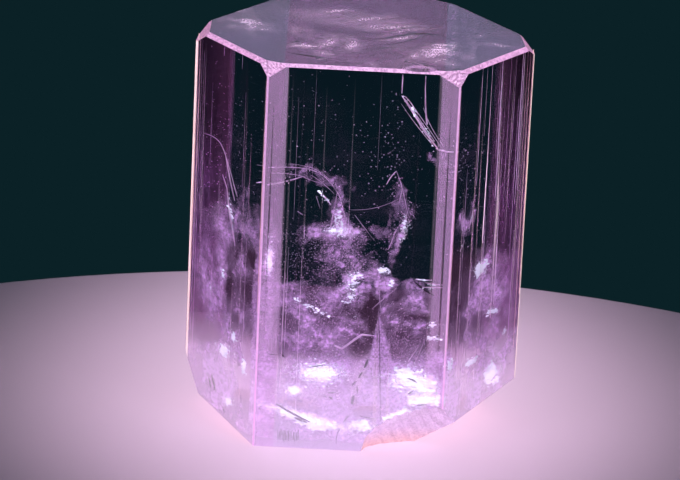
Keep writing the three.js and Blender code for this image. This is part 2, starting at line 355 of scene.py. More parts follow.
def tinyShape(kind):
    mesh = bmesh.new()
    if kind == "grain":
        bmesh.ops.create_cone(mesh, cap_ends=True, segments=3, radius1=0.6, radius2=0, depth=0.9)
    else:
        bmesh.ops.create_icosphere(mesh, subdivisions=1, radius=0.5)
    bmesh.ops.triangulate(mesh, faces=mesh.faces)
    verts = np.array([v.co[:] for v in mesh.verts])
    faces = np.array([[v.index for v in f.verts] for f in mesh.faces])
    mesh.free()
    return verts, faces


def randomTurns(rng, count):
    q = rng.normal(size=(count, 4))
    q /= np.linalg.norm(q, axis=1)[:, None]
    w, x, y, z = q.T
    return np.stack([
        np.stack([1 - 2 * (y * y + z * z), 2 * (x * y - z * w), 2 * (x * z + y * w)], 1),
        np.stack([2 * (x * y + z * w), 1 - 2 * (x * x + z * z), 2 * (y * z - x * w)], 1),
        np.stack([2 * (x * z - y * w), 2 * (y * z + x * w), 1 - 2 * (x * x + y * y)], 1)], 1)


def scatter(name, kind, places, sizes, turns, material):
    # places in mm, sizes in mm along three axes
    verts, faces = tinyShape(kind)
    count = len(places)
    points = np.einsum("nij,nkj->nki", turns, verts[None] * sizes[:, None, :]) + places[:, None, :]
    triangles = faces[None] + (np.arange(count) * len(verts))[:, None, None]
    data = bpy.data.meshes.new(name)
    data.from_pydata([], [], [])
    data.vertices.add(count * len(verts))
    data.vertices.foreach_set("co", (points * mm).astype(np.float32).ravel())
    data.loops.add(count * faces.size)
    data.loops.foreach_set("vertex_index", triangles.astype(np.int32).ravel())
    data.polygons.add(count * len(faces))
    data.polygons.foreach_set("loop_start", np.arange(count * len(faces), dtype=np.int32) * 3)
    data.polygons.foreach_set("use_smooth", [False] * len(data.polygons))
    data.update(calc_edges=True)
    data.validate()
    print(name, count, "bits,", count * len(faces), "triangles")
    return addPiece(name, data, material)


# on each face, in mm: middle (u, v), half size (ru, rv), tilt in degrees, cover, edge (1 soft, 4 sharp),
# wisp size
veilClouds = {
    "front": [
        # bright cloud under the curved fracture
        ((-2.6, 32.3), (3.4, 0.9), 3, 0.7, 1, 0.8), ((-2.5, 32.5), (1.2, 0.6), 0, 0.9, 1, 0.6),
        ((-5.5, 33), (1.2, 0.4), 8, 0.5, 1, 0.5), ((-2.5, 35.6), (0.6, 2.3), 0, 0.85, 1, 0.4),
        ((-5.4, 40.4), (3.6, 1.3), -14, 0.2, 2, 0.6), ((-2, 28.5), (2, 1.8), 30, 0.35, 1, 0.6),
        # lens-shaped fracture
        ((5.5, 37), (1, 2.2), 0, 0.08, 2, 1.2), ((5.9, 32.2), (0.34, 2.8), -16, 0.55, 1, 0.4),
        # fracture below the top chip
        ((8, 48.5), (0.8, 4.4), 30, 0.4, 1, 0.5), ((-7, 20.5), (2.6, 1.2), -10, 0.5, 1, 1.4),
        ((-4, 17), (4.2, 1), -46, 0.65, 1, 0.8), ((-6.5, 16), (2.4, 1.2), 0, 0.35, 2, 0.6),
        ((-0.5, 18.5), (2, 2.2), 0, 0.35, 2, 0.6), ((0, 24.5), (1.2, 2.8), -20, 0.6, 1, 0.7),
        ((5.5, 20), (0.8, 1), 20, 0.5, 1, 0.5), ((8.5, 19), (1.2, 0.7), -30, 0.5, 1, 0.5),
        # white patches in the foot
        ((-4, 11.5), (2.2, 1.3), -5, 1, 2, 0.7), ((-7.5, 8.7), (0.9, 0.8), 0, 1, 2, 0.5),
        ((8.5, 11), (3, 1.8), -8, 1, 3, 1.5), ((10, 8), (2.2, 0.9), 0, 1, 3, 1),
        ((7, 5), (1.8, 0.9), 20, 0.9, 2, 1), ((-5.5, 4.2), (4.4, 0.8), -16, 1, 2, 0.9),
        # glow in the left band, white veils where the band shows a highlight: painted highlights; then two
        # glows of the foot
        ((-11.4, 27.8), (0.45, 1.9), 0, 0.85, 1, 0), ((-11.3, 21), (0.9, 8), 0, 0.4, 1, 0),
        ((-4, 11.5), (3.4, 2.1), -5, 0.8, 1, 0), ((9, 10), (3.6, 3), -8, 0.7, 1, 0),
    ],
    "left": [
        ((5.5, 31), (6, 2.4), -18, 0.28, 1, 1.5), ((6.5, 21), (5.5, 6.5), 0, 0.3, 3, 0.9),
        ((9, 19.5), (5.2, 1.1), 59, 0.6, 1, 0.8), ((3.6, 25), (0.5, 1.5), 0, 0.7, 1, 0.6),
        ((5, 32), (0.5, 3.4), 18, 0.45, 1, 0.5), ((4, 13.5), (1.4, 1.6), 0, 0.9, 1, 0.8),
    ],
    "right": [
        ((1.5, 34), (1.2, 1), 0, 0.4, 1, 0.8), ((3.5, 34.5), (0.4, 1.4), -12, 0.6, 1, 0.5),
        ((6, 24), (5.4, 4.4), -10, 0.4, 3, 1.5), ((6, 26.3), (1, 1.1), -30, 0.9, 2, 0.4),
        ((6.5, 17), (5, 2.8), -8, 0.32, 2, 0.9), ((9, 10), (2.2, 2.6), 20, 0.9, 1, 0.8),
    ],
    "top": [
        # granular middle of the top face
        ((-2, 3.6), (8.5, 2.8), -8, 0.32, 3, 0),
        # its milky clouds
        ((-3.8, -4.4), (7, 2.2), -41, 0.46, 1, 2.4), ((8.6, -6.2), (3.4, 2.2), -10, 0.5, 1, 2),
        ((-15.5, 1.5), (4, 3.6), -16, 0.28, 1, 2.4),
        # its streaks: painted highlights, drawn in the smear colour
        ((-4.4, 5.8), (1.7, 0.35), 20, 0.8, 1, 0), ((0.8, 4.1), (2.6, 0.5), 20, 0.5, 1, 0),
        ((3.4, 1.6), (3.6, 0.7), 10, 0.55, 1, 0), ((4.6, 0.1), (2.8, 0.4), 20, 0.6, 1, 0),
        ((4.6, -1.7), (2.2, 0.45), 18, 0.7, 1, 0), ((10, -3.1), (1.5, 0.35), 2, 0.8, 1, 0),
        ((9.8, -4.5), (1.7, 0.4), -6, 0.8, 1, 0), ((10.3, -5.7), (1, 0.35), -8, 0.6, 1, 0),
        ((11.2, -8.8), (0.9, 0.6), 0, 0.5, 1, 0), ((-8.2, -5.6), (1.8, 0.35), 2, 0.9, 1, 0),
        ((-5.6, -4.6), (0.8, 0.4), 0, 0.5, 1, 0), ((-5.4, -7.4), (0.9, 0.6), 0, 0.5, 1, 0),
        ((1.2, -10.4), (0.6, 0.5), 0, 0.6, 1, 0), ((-16.9, 4.7), (1.3, 0.4), 6, 0.6, 1, 0),
        ((-15.8, 1.1), (2, 0.5), -10, 0.8, 1, 0), ((-14.1, -1), (2.4, 0.4), -4, 0.5, 1, 0.4),
        ((-18, -0.6), (0.5, 0.4), 0, 0.5, 1, 0), ((17.2, -2.3), (1.8, 0.35), 0, 0.6, 1, 0),
        ((14, -3), (0.25, 5), 0, 0.3, 1, 0), ((15.1, 0.8), (0.3, 0.35), 0, 0.9, 1, 0),
        ((16.4, -7), (0.3, 0.35), 0, 0.9, 1, 0), ((11.5, 0), (0.2, 9), 0, 0.4, 2, 0),
    ],
}
# corners (u, v), cover, width of the soft edge, wisp size
veilPatches = {
    "front": [
        # haze on the left
        ([(-10, 24.4), (-1.5, 24.8), (0, 23), (-3, 20.5), (-10, 21.2)], 0.38, 0.7, 2.5),
        ([(5.8, 25.2), (8, 26), (9.9, 24.4), (9.9, 21.2), (4.2, 21.4), (4, 22.8)], 0.4, 0.8, 2.5),
        ([(1.5, 27.5), (3.5, 28), (5.5, 25.5), (3.7, 21)], 0.6, 0.6, 1.2),
        ([(3.9, 40), (4.9, 42), (6.5, 38.6), (7, 35.5), (5.4, 29.3), (4.1, 29.3)], 0.07, 0.3, 1),
        ([(-9.8, 18), (-2, 18.5), (2, 12), (-9.8, 11)], 0.2, 2, 2.5),
        ([(4, 17.5), (9.9, 18), (9.9, 11), (3, 11)], 0.16, 2, 2.5),
        # pale tent
        ([(3.5, 20.5), (5.7, 13.5), (7, 7), (1, 7), (2.5, 14)], 0.65, 0.25, 0),
        # milky foot
        ([(-12.5, 14), (-3, 13.3), (2.5, 14), (10, 13.5), (12.5, 15), (12.5, 7), (2, 0.6), (-12, 0.4)],
         0.34, 0.8, 3),
        ([(-12.5, 12.5), (-9.8, 12.5), (-9.8, 0.5), (-12.5, 0.5)], 0.4, 1.2, 2),
        ([(-12.5, 8), (12.5, 9.5), (12, 6.4), (2, 0.6), (-12.5, 0.4)], 0.32, 1.2, 2),
        ([(9.8, 14.5), (12.5, 15.5), (12.5, 7), (9.8, 6.5)], 0.4, 1.2, 2),
    ],
    "left": [
        ([(13.5, 10), (8, 12.5), (1, 14.5), (0.3, 1), (12, 4)], 0.6, 0.8, 1.6),
    ],
    "right": [
        ([(0.3, 14), (9, 12), (13, 15), (13.3, 8), (0.3, 1)], 0.6, 0.8, 1.6),
    ],
}
veilSheets = {
    # face: across from and to, up from and to, depth, its waviness, how far the wisps are drawn out upwards
    "front": (-12.4, 12.4, 0.6, 45.0, 3.2, 1.0, 1.0),
    "left": (0.4, 13.4, 0.8, 44.0, 1.6, 0.5, 2.5),
    "right": (0.4, 13.6, 0.8, 46.0, 1.6, 0.5, 2.5),
}
veilLook = {
    "step": 0.16,               # mm between the points of a sheet
    "thickness": 0.03,
    "thinnest": 0.05,           # cover below which the sheet is left out
    "waver": 0.7,               # mm that the outlines of the clouds wander
    "crisp": 0.3,               # a patch with a softer edge than this wanders too
    "colour": "f8dcff",
    "speckSize": 0.45 * mm,
    "falloff": 0.7,             # how fast a cloud thins from its middle
    "faint": 0.02,              # cover below which no wisps are worked out
    "wispLeast": 0.15,          # cover between the wisps, as a share
    "wispMost": 1.6,
    "wispSharp": 1.8,
    "wispBend": 0.55,           # bends of a wisp, as a share of its size
    "wispSwirl": (0.5, 1.1),    # middle and swing of the noise it comes from
    "wispNoise": (0.7, 2.1, 5),  # roughness, step between and number of its layers
    "swellSize": 0.13,          # bends of a sheet per mm
    "wanderSize": 0.42,         # bends of a cloud's outline per mm, and of its finer wander
    "wanderFine": 1.3,
    "seed": 3,                  # without one, noise vectors start from the clock
}


def wisps(u, v, size, stretch, seed, near):
    look = veilLook
    middle, swing = look["wispSwirl"]
    wave = np.ones_like(u)
    for i in np.flatnonzero(near):
        at = Vector((u[i] / size, v[i] / size / stretch, seed)) * look["wispBend"]
        swirl = max(0.0, middle + swing * noise.fractal(at, *look["wispNoise"]))
        wave[i] = look["wispLeast"] + look["wispMost"] * swirl ** look["wispSharp"]
    return wave


def edgeDistance(u, v, corners):
    # how far inside a patch each point is, in mm, negative outside
    nearest = np.full_like(u, 1e6)
    within = np.zeros(u.shape, bool)
    for (u0, v0), (u1, v1) in zip(corners, corners[1:] + corners[:1]):
        run, rise = u1 - u0, v1 - v0
        share = np.clip(((u - u0) * run + (v - v0) * rise) / (run * run + rise * rise), 0, 1)
        nearest = np.minimum(nearest, np.hypot(u - u0 - share * run, v - v0 - share * rise))
        if rise:
            within ^= ((v0 > v) != (v1 > v)) & (u < u0 + (v - v0) * run / rise)
    return np.where(within, nearest, -nearest)


def waver(u, v):
    # pushes the points about a little, so that no cloud has an even outline
    look = veilLook
    noise.seed_set(look["seed"])
    coarse = [noise.noise_vector(Vector((a, b, 3.0)) * look["wanderSize"]) for a, b in zip(u, v)]
    fine = [noise.noise_vector(Vector((b, a, 9.0)) * look["wanderFine"]) for a, b in zip(u, v)]
    shift = look["waver"] * (np.array(coarse) + 0.5 * np.array(fine))
    return u + shift[:, 0], v + shift[:, 1]


def cloudCover(face, u, v, stretch):
    look = veilLook
    clear = np.ones_like(u)
    straight = (u, v)
    u, v = waver(u, v)

    def laid(clear, level, wisp, seed):
        if wisp:
            level = level * wisps(u, v, wisp, stretch, seed, level > look["faint"])
        return clear * (1 - np.clip(level, 0, 1))

    for corners, cover, soft, wisp in veilPatches.get(face, []):
        inside = edgeDistance(*(straight if soft < look["crisp"] else (u, v)), corners)
        share = np.clip(inside / soft * 0.5 + 0.5, 0, 1)
        clear = laid(clear, cover * share * share * (3 - 2 * share), wisp, corners[0][0])
    for (cu, cv), (ru, rv), tilt, cover, edge, wisp in veilClouds[face]:
        t = math.radians(tilt)
        a = ((u - cu) * math.cos(t) + (v - cv) * math.sin(t)) / ru
        b = (-(u - cu) * math.sin(t) + (v - cv) * math.cos(t)) / rv
        clear = laid(clear, cover * np.exp(-look["falloff"] * (a * a + b * b) ** edge), wisp, cu + cv)
    return 1 - clear


def veils():
    # healed fractures: thin clouded sheets, drawn where the crystal is milky
    look = veilLook
    for face, (u0, u1, v0, v1, depth, wave, stretch) in veilSheets.items():
        nu, nv = round((u1 - u0) / look["step"]), round((v1 - v0) / look["step"])
        mesh = bmesh.new()
        bmesh.ops.create_grid(mesh, x_segments=nu, y_segments=nv, size=0.5)
        flat = np.array([v.co[:2] for v in mesh.verts]) + 0.5
        u, v = u0 + flat[:, 0] * (u1 - u0), v0 + flat[:, 1] * (v1 - v0)
        swell = np.array([noise.noise(Vector((a, b, 7.0)) * look["swellSize"]) for a, b in zip(u, v)])
        places = behind(face, u, v, depth + wave * swell)
        cover = cloudCover(face, u, v, stretch) * insideCrystal(places)
        layer = mesh.verts.layers.float.new("cover")
        for vert, place, amount in zip(mesh.verts, places, cover):
            vert.co = Vector(place) * mm
            vert[layer] = amount
        thin = [f for f in mesh.faces if max(w[layer] for w in f.verts) < look["thinnest"]]
        bmesh.ops.delete(mesh, geom=thin, context="FACES")
        bmesh.ops.solidify(mesh, geom=mesh.faces[:], thickness=look["thickness"] * mm)
        bmesh.ops.recalc_face_normals(mesh, faces=mesh.faces[:])
        data = meshData("veil_" + face, mesh)
        data.polygons.foreach_set("use_smooth", [True] * len(data.polygons))
        addPiece("veil_" + face, data, veilMaterial)
        print("veil", face, len(data.polygons), "faces")


def veilFilm():
    # Fluid inclusions too fine to see one by one: a milky pink-white film, thicker where they crowd.
    material, tree = newMaterial("healed_veil")
    cover = addNode(tree, "Attribute", {"attribute_name": "cover"}).outputs["Fac"]
    place = addNode(tree, "TexCoord").outputs["Object"]
    specks = addNode(tree, "TexNoise", {"Scale": 1 / veilLook["speckSize"], "Detail": 4.0,
                                        "Roughness": 0.8}, {"Vector": place})
    grain = addNode(tree, "MapRange", {"From Min": 0.34, "From Max": 0.66, "To Min": 0.25, "To Max": 1.6},
                    {"Value": specks.outputs["Fac"]})
    alpha = addNode(tree, "Math", {"operation": "MULTIPLY", "use_clamp": True},
                    {0: cover, 1: grain.outputs[0]})
    shader = addNode(tree, "BsdfPrincipled", {"Base Color": hexColour(veilLook["colour"]), "Roughness": 0.6,
                                              "Specular IOR Level": 0.2}, {"Alpha": alpha.outputs[0]})
    addNode(tree, "OutputMaterial", {}, {"Surface": shader.outputs[0]})
    return material


# face, middle (u, v), half size (ru, rv), tilt, depth, depth spread, number of grains, grain size in mm
grainClouds = [
    ("front", (-5.4, 28.0), (2.4, 2.6), 0, 6, 2.0, 500, 0.10),
    ("front", (-1.2, 28.6), (1.5, 2.4), 25, 5, 2.0, 600, 0.10),
    ("front", (-2.6, 31.8), (2.6, 1.2), 0, 5, 1.5, 400, 0.10),
    ("front", (-5.0, 19.0), (3.4, 3.0), 0, 5, 2.0, 900, 0.10),
    ("front", (7.5, 16.5), (2.0, 2.6), 0, 5, 2.0, 700, 0.10),
    ("front", (5.9, 34.0), (0.7, 3.0), -20, 5, 1.0, 200, 0.11),
    ("front", (3.6, 44.5), (1.4, 4.0), 0, 6, 3.0, 90, 0.16),
    ("front", (-4.0, 44.0), (5.5, 5.0), 0, 7, 4.0, 90, 0.14),
    ("front", (0.5, 38.0), (9.0, 8.0), 0, 8, 4.0, 100, 0.11),
    ("front", (-6.5, 50), (3.0, 4.0), 0, 6, 3.0, 40, 0.14),
    ("left", (6.5, 42.0), (3.5, 6.0), 0, 2, 1.0, 220, 0.10),
    ("left", (6.0, 30.0), (4.0, 6.0), 0, 2, 1.0, 200, 0.11),
    ("right", (1.6, 42.0), (0.8, 3.0), 0, 2, 0.8, 60, 0.14),
    ("right", (6.5, 33.0), (4.0, 8.0), 0, 2, 1.0, 200, 0.11),
    ("front", (0.0, 10.0), (9.0, 6.0), 0, 4, 2.0, 900, 0.10),
]


def grains():
    rng = np.random.default_rng(5)
    places, sizes = [], []
    for face, (u, v), (ru, rv), tilt, depth, spread, count, size in grainClouds:
        a, b, c = rng.normal(size=(3, count))
        t = math.radians(tilt)
        some = behind(face, u + ru * a * math.cos(t) - rv * b * math.sin(t),
                      v + ru * a * math.sin(t) + rv * b * math.cos(t), depth + spread * c)
        keep = insideCrystal(some)
        places.append(some[keep])
        sizes.append(size * rng.uniform(0.5, 1.5, keep.sum()))
    places, sizes = np.concatenate(places), np.concatenate(sizes)
    turns = randomTurns(rng, len(places))
    scatter("inclusion_grains", "grain", places, sizes[:, None] * np.ones((1, 3)), turns, pearl)


# from (u, v), to (u, v), width, number of flakes
flashes = {
    "front": [
        # white patches in the foot
        ((-6, 11.5), (-2, 11.5), 1.6, 120), ((-8, 8.5), (-7, 9), 0.8, 70), ((6, 12), (11, 10), 1.6, 260),
        ((8, 8), (12, 8), 0.6, 160), ((-9, 5.5), (-4, 3.5), 0.5, 180), ((-4, 3.5), (-1, 4), 0.5, 90),
        ((5, 4), (11, 6.5), 0.3, 90),
        # glints in the middle
        ((-0.8, 25), (0.8, 26.5), 0.6, 24), ((-1, 22), (-0.2, 23), 0.5, 16),
        ((3.2, 27), (3.8, 27.5), 0.4, 40), ((5, 26), (5, 25), 0.3, 20), ((-8, 22.5), (-3, 20), 0.4, 70),
        ((10.4, 19.2), (10.8, 20), 0.3, 30), ((10, 17.5), (12, 17.5), 0.3, 40),
        # core of the bright cloud
        ((-2.4, 36), (-2.4, 32.6), 0.4, 30), ((-5.3, 38.5), (-3.6, 36.6), 0.2, 22),
        # fracture below the top chip
        ((5.2, 53), (9.5, 46), 0.35, 45), ((6.4, 35.6), (5.6, 31.8), 0.3, 26),
    ],
    "left": [
        ((7, 22.3), (7.2, 23.8), 0.3, 30), ((4.5, 14), (4.5, 15), 0.4, 30), ((6, 11.5), (7, 12), 0.7, 60),
        ((2.4, 10.3), (2.4, 12), 0.4, 40), ((4.8, 4.5), (5.4, 4.6), 0.6, 40),
        ((6.6, 33.5), (5.6, 31.8), 0.3, 40),
    ],
    "right": [
        ((5, 25.5), (7, 27), 0.9, 160), ((7.5, 19), (9.5, 18.8), 0.4, 60),
        ((10.8, 14.6), (11.4, 15.4), 0.3, 25), ((0.5, 13), (1.5, 14), 0.5, 40),
        ((4, 12.5), (6, 12.6), 0.5, 60), ((8, 9), (10.5, 8), 0.8, 90),
    ],
}
# patches that glow: middle (u, v), half size (ru, rv), tilt, number of tiny flakes
glows = {
    "front": [
        ((-4, 11.6), (2.2, 1), 0, 2200), ((-7.4, 8.7), (0.7, 0.6), 0, 450),
        ((8.6, 11), (2.6, 1.4), -8, 2000), ((10, 8.4), (1.8, 0.7), 0, 900),
        ((7, 5.6), (1.8, 0.6), 20, 500), ((-5.6, 4.6), (3.8, 0.5), -16, 1500),
        ((1.4, 3.8), (1.4, 0.6), 0, 450), ((-11.4, 27.8), (0.3, 1.5), 0, 420),
        ((-0.4, 24.6), (0.9, 1.6), 0, 260), ((3.9, 27.3), (0.5, 0.3), 0, 110),
        ((-2.4, 32.8), (1.4, 0.6), 0, 360), ((6.3, 33), (0.3, 1.6), -15, 50),
    ],
    "left": [
        ((6.4, 11.8), (1, 0.8), 0, 260), ((2.4, 11), (0.4, 1.2), 0, 200),
        ((4.8, 14.6), (0.4, 0.6), 0, 100), ((5.2, 4.6), (0.8, 0.5), 0, 150),
    ],
    "right": [
        ((6, 26.2), (0.8, 0.7), 0, 300), ((9, 9.5), (1.2, 1.4), 20, 420), ((1, 13.2), (0.5, 0.7), 0, 200),
        ((8.6, 19), (1, 0.25), -6, 130),
    ],
}
flakeLook = {
    "before": 1.0,              # mm in front of the veil
    "spread": 0.3,
    "size": (0.12, 0.6),        # smallest and largest in mm
    "glowSize": (0.06, 0.17),   # the same of the tiny flakes in a glow
    "height": (0.3, 0.6),       # shares of the size
    "thickness": 0.06,
    "turn": 0.25,
    "scatter": 0.035,           # how far the flakes turn away from facing the softbox
    "fewLarge": 2.5,            # the higher, the fewer large flakes among the small ones
    "glowReach": 0.7,
    "glowTurn": 1.0,
    "glowHeight": (0.6, 1.0),
    "glowThickness": 0.01,
}

# depth, path (u, v), widths at its start, middle and end
rimsAndTopHighlights = {
    "front": [
        # curved fracture
        (5, [(-12, 41.6), (-8, 42), (-5, 41.2), (-3.2, 39.2), (-2.2, 37.4)], (0.05, 0.07, 0.06)),
        (5, [(-9.4, 42.3), (-6.8, 42.2), (-4.6, 41), (-3.4, 39.8)], (0.03, 0.05, 0.03)),
        (5, [(-11.6, 40.8), (-8.4, 41), (-6.2, 39.9), (-4.6, 39.6)], (0.03, 0.05, 0.03)),
        (5, [(-6.4, 40.8), (-4.8, 39.9), (-3.2, 38.2)], (0.03, 0.05, 0.03)),
        (5, [(-12, 39), (-10, 39.5), (-7.5, 40.5)], (0.1, 0.24, 0.08)),
        (5, [(-5.4, 38.5), (-4.4, 37.8), (-3.6, 36.6)], (0.1, 0.22, 0.08)),
        (5, [(-5.6, 37.8), (-5, 36)], (0.05, 0.08, 0.03)),
        (5, [(-8, 35.4), (-7.2, 34.9)], (0.05, 0.08, 0.05)),
        (5, [(-2.8, 38.5), (-3.2, 36), (-3.5, 33)], (0.06, 0.12, 0.12)),
        (5, [(-2.7, 38.3), (-1.8, 36), (-1.4, 33.3)], (0.05, 0.12, 0.12)),
        (5, [(-2.6, 36), (-2.4, 33)], (0.05, 0.12, 0.2)),
        # lens-shaped fracture
        (4, [(3.6, 40), (4.1, 41.3), (4.8, 42)], (0.08, 0.2, 0.1)),
        (4, [(4.8, 42), (5.7, 40), (6.4, 36.5)], (0.05, 0.08, 0.06)),
        (4, [(5.7, 39.6), (5.4, 37.4)], (0.08, 0.16, 0.08)),
        (4, [(-1, 36), (2.5, 36), (5.3, 38)], (0.03, 0.05, 0.04)),
        (4, [(6.5, 36), (6.3, 34), (5.5, 31)], (0.1, 0.24, 0.14)),
        (4, [(5.2, 33.5), (4.3, 30.5)], (0.05, 0.1, 0.1)),
        (4, [(-0.4, 35.3), (2.3, 31.7)], (0.04, 0.06, 0.03)),
        # fracture below the chip
        (2, [(5, 56), (5, 53.3)], (0.15, 0.2, 0.1)), (2, [(8, 56), (8, 52), (8.5, 49)], (0.1, 0.14, 0.24)),
        (2, [(5, 53), (7, 50), (8.5, 47.5), (10.2, 45.4)], (0.12, 0.3, 0.16)),
        (2, [(5.4, 52.6), (7.6, 49.5), (9.6, 46.6)], (0.06, 0.12, 0.08)),
        (2, [(5, 51.8), (7, 48.8), (9.4, 46)], (0.04, 0.08, 0.06)),
        (2, [(5.6, 52.8), (8, 49.6), (10.2, 46.2)], (0.05, 0.1, 0.06)),
        (2, [(7.9, 51.4), (8.8, 48.6), (10.8, 46)], (0.05, 0.1, 0.05)),
        (2, [(5.2, 53), (6.2, 52.4), (7.2, 50.4)], (0.05, 0.14, 0.05)),
        (2, [(9.8, 45.6), (11, 45.1), (12.2, 45.2)], (0.14, 0.22, 0.08)),
        # bent needle
        (1.6, [(-2.3, 15.8), (-1.3, 15.3)], (0.14, 0.24, 0.26)),
        (1.6, [(-1.3, 15.3), (1.3, 17.6)], (0.26, 0.26, 0.28)),
        (1.6, [(1.3, 17.6), (2.9, 17.5)], (0.28, 0.2, 0.1)),
        (4, [(2.5, 21.5), (5.6, 24.8)], (0.05, 0.08, 0.05)),
        (4, [(3.7, 21.2), (3.2, 24), (3.4, 27)], (0.04, 0.08, 0.05)),
        # slashes
        (3, [(8, 26.2), (10.1, 26.2)], (0.06, 0.2, 0.06)),
        (3, [(9.3, 25.8), (11.2, 25.6)], (0.06, 0.16, 0.06)),
        (3, [(8.9, 25.1), (11.6, 25.2)], (0.06, 0.16, 0.06)),
        (3, [(7.6, 13.8), (9, 16.4)], (0.05, 0.16, 0.05)),
        (3, [(8.7, 14.2), (9.8, 17.5)], (0.04, 0.08, 0.04)),
    ],
    "left": [
        (1, [(12, 42), (9.5, 42.6), (7.5, 41), (5.5, 36.5)], (0.04, 0.08, 0.14)),
        (1, [(7.9, 37.5), (6.9, 35.7)], (0.06, 0.16, 0.1)),
        (1, [(7.6, 41), (6.6, 37.5), (5.4, 34.6)], (0.06, 0.3, 0.1)),
        (1, [(7, 36), (6.4, 32.5), (5.6, 30.5), (5, 28)], (0.1, 0.34, 0.1)),
        (1, [(6, 37.5), (4.9, 35.3)], (0.1, 0.2, 0.06)),
        (2, [(12, 24), (8, 18.5), (6.5, 14)], (0.04, 0.08, 0.05)),
    ],
    "right": [
        (1, [(3.9, 36), (3.6, 34.6), (3.1, 33)], (0.1, 0.34, 0.1)),
        (2, [(2.4, 31.5), (1.7, 30)], (0.08, 0.14, 0.06)),
        (2, [(7.5, 19), (9.6, 18.8)], (0.05, 0.12, 0.05)),
    ],
    # light lines just under the top face, standing for its highlight streaks: painted highlights
    "top": [
        (0.25, [(-10, -5.8), (-8.4, -5.4), (-6.2, -5.6)], (0.1, 0.5, 0.1)),
        (0.25, [(-9, -6.2), (-6.8, -6.1)], (0.05, 0.25, 0.05)),
        (0.25, [(-6.3, -9.5), (-5.1, -9.1)], (0.1, 0.35, 0.1)),
        (0.25, [(8.6, -3.3), (10, -3), (11.3, -3.1)], (0.08, 0.28, 0.15)),
        (0.25, [(8.2, -4.2), (9.8, -4.6), (11.3, -4.5)], (0.08, 0.3, 0.1)),
        (0.25, [(9.6, -5.5), (11, -5.8)], (0.06, 0.22, 0.06)),
        (0.25, [(-5.6, 5.3), (-4.4, 5.7), (-3.2, 6.4)], (0.06, 0.22, 0.06)),
        (0.25, [(5, -8.4), (6.4, -8.8), (8.4, -10)], (0.08, 0.14, 0.06)),
        (0.25, [(-16.8, 0.8), (-15.2, 0.9)], (0.05, 0.3, 0.05)),
    ],
}
# fine growth lines just under a face: u, from v, to v, width
growthLines = {
    "front": [
        (-9.3, 9, 28, 0.08), (-8.9, 12, 30, 0.05), (-7.1, 5, 30, 0.05), (-6.2, 40, 56, 0.03),
        (2.3, 42, 56, 0.03), (-8.4, 34, 52, 0.04),
    ],
    "left": [
        (13.1, 12, 55.5, 0.07), (12.6, 10, 55.5, 0.05), (12.2, 30, 54, 0.04), (8.4, 54.6, 56, 0.05),
        (4.9, 54, 56.2, 0.06), (4, 37, 51, 0.05), (10.4, 38, 50, 0.04), (9.3, 14, 26, 0.04),
        (2.8, 14, 30, 0.05),
    ],
    "right": [
        (4.1, 39, 56, 0.14), (5.9, 30, 56.2, 0.18), (7.8, 36, 56.2, 0.28), (8.2, 18, 44, 0.15),
        (6.2, 16, 34, 0.09), (9.4, 34, 56, 0.07), (8.7, 20, 33, 0.12), (11.6, 34, 56.2, 0.2),
        (11.9, 36, 56.2, 0.15), (11.8, 12, 30, 0.11), (5, 46, 56, 0.07), (2.2, 22, 42, 0.07),
        (10.4, 40, 56, 0.06), (7.4, 42, 56, 0.06), (11.2, 26, 50, 0.08), (1, 6, 17, 0.1),
        (3.2, 5, 16, 0.12), (5.6, 5, 13, 0.1), (7.2, 6, 15, 0.1), (2.3, 8, 21, 0.08),
    ],
}
